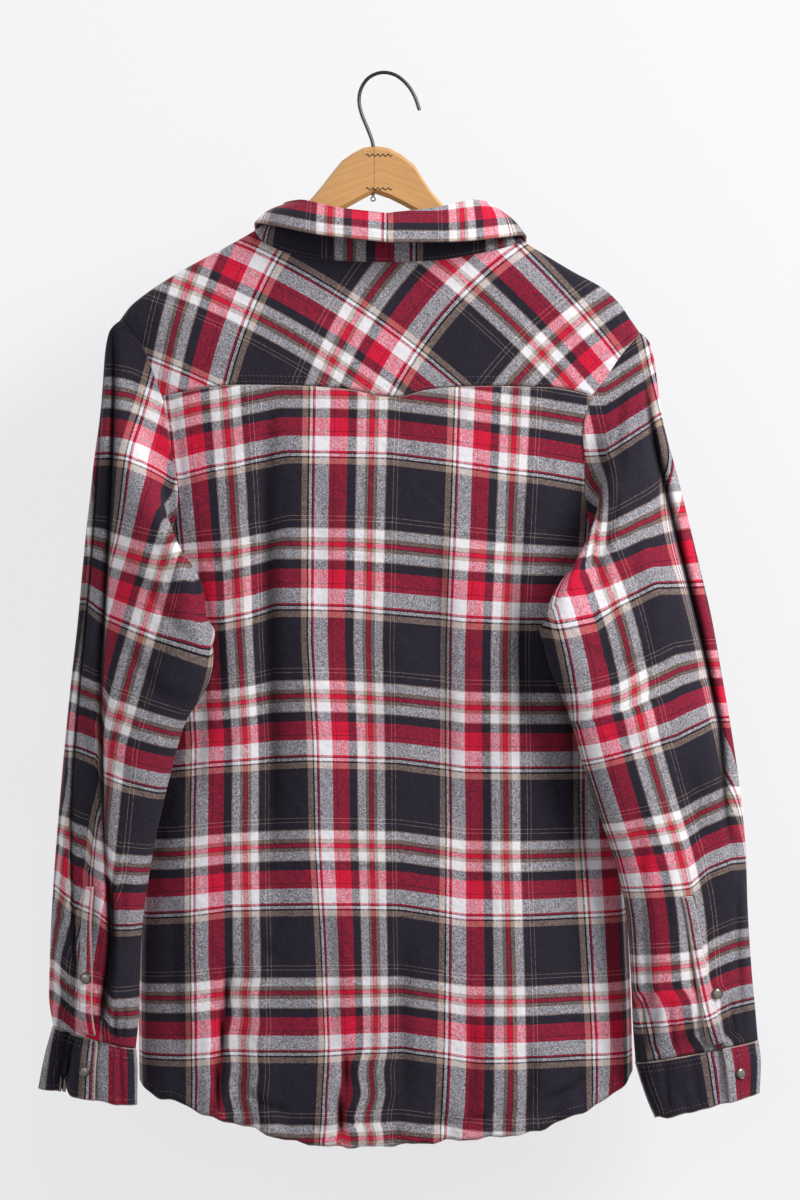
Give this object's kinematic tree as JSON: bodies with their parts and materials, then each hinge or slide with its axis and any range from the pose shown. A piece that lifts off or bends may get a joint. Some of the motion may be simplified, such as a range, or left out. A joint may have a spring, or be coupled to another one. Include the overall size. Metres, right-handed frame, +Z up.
{
  "type": "plaid flannel shirt on a wooden hanger",
  "caption": "Long-sleeved plaid flannel shirt with a yoke, collar, snap front and snap cuffs, hanging open at neck, hem and wrists on a flat wooden hanger with a wire hook",
  "frame": {"origin": "inside top of the hook, where the hanger rests on a rod", "axes": "+Z up, the shirt's front faces -Y, the wearer's left is +X"},
  "size_m": [0.6232, 0.1314, 0.9251],
  "materials": {
    "flannel": "brushed plaid flannel, matte, on the straight grain",
    "flannel_band": "brushed plaid flannel, matte, doubled and topstitched",
    "snap": "pearl cap in a thin metal rim",
    "wood": "pale brown, satin",
    "wire": "dark steel, satin"
  },
  "bodies": {
    "root": {"yoke": "flannel_band", "back": "flannel", "front_left": "flannel", "front_right": "flannel", "front_placket": "flannel_band", "collar_stand": "flannel_band", "collar": "flannel_band", "sleeve_left": "flannel", "sleeve_right": "flannel", "cuff_left": "flannel_band", "cuff_right": "flannel_band", "sleeve_placket_left": "flannel_band", "sleeve_placket_right": "flannel_band", "snap_front_1": "snap", "snap_front_2": "snap", "snap_front_3": "snap", "snap_front_4": "snap", "snap_front_5": "snap", "snap_front_6": "snap", "snap_front_7": "snap", "snap_collar": "snap", "snap_cuff_left": "snap", "snap_cuff_right": "snap", "snap_sleeve_left": "snap", "snap_sleeve_right": "snap", "hanger_wood_left": "wood", "hanger_wood_right": "wood", "hanger_hook": "wire", "hanger_hook_eye": "wire"}
  },
  "joints": []
}
